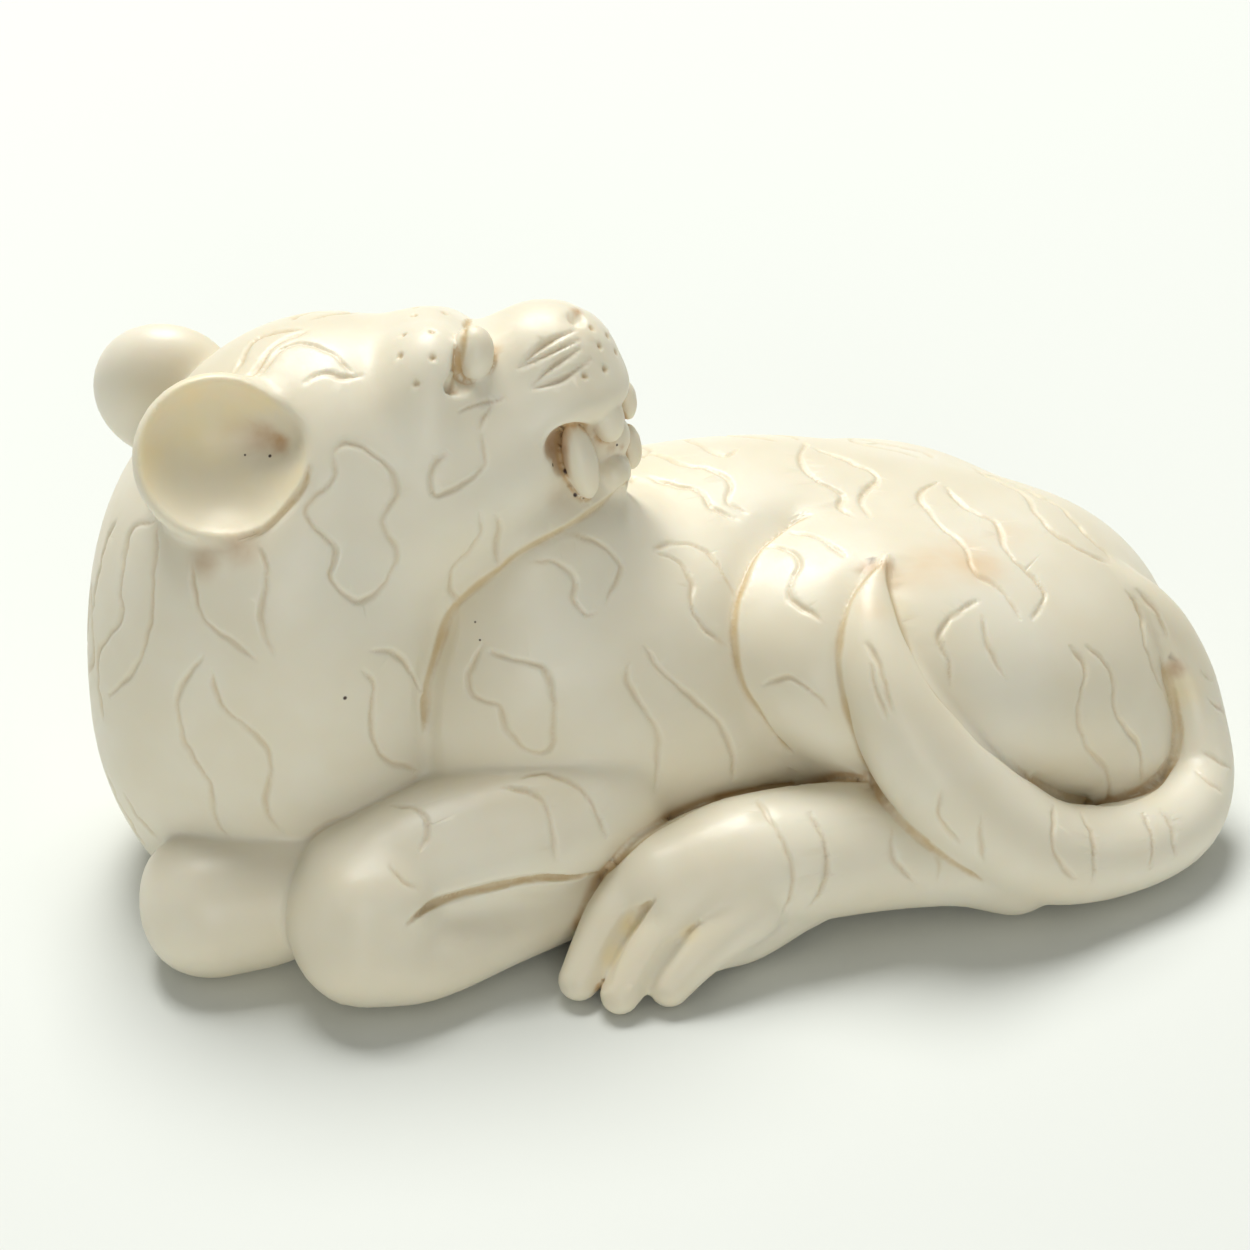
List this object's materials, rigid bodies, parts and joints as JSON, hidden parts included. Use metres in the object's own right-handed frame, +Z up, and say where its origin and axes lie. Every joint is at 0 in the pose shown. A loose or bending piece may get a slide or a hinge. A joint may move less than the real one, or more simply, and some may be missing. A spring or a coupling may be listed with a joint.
{
  "type": "okimono",
  "caption": "Carved ivory okimono of a recumbent tiger, legs folded to one side, head turned back over its shoulder with mouth open, tail wrapped over its thigh, flat underside.",
  "frame": {"origin": "middle of the carving's box, on the flat underside that it rests on", "axes": "+X from the chest to the rump, -Y towards the side that the legs and the tail lie on, +Z up"},
  "size_m": [0.0552, 0.031, 0.0297],
  "materials": {
    "ivory": "polished, warm cream ivory with tan stain in the engraved lines"
  },
  "bodies": {
    "root": {"tiger": "ivory"}
  },
  "joints": []
}
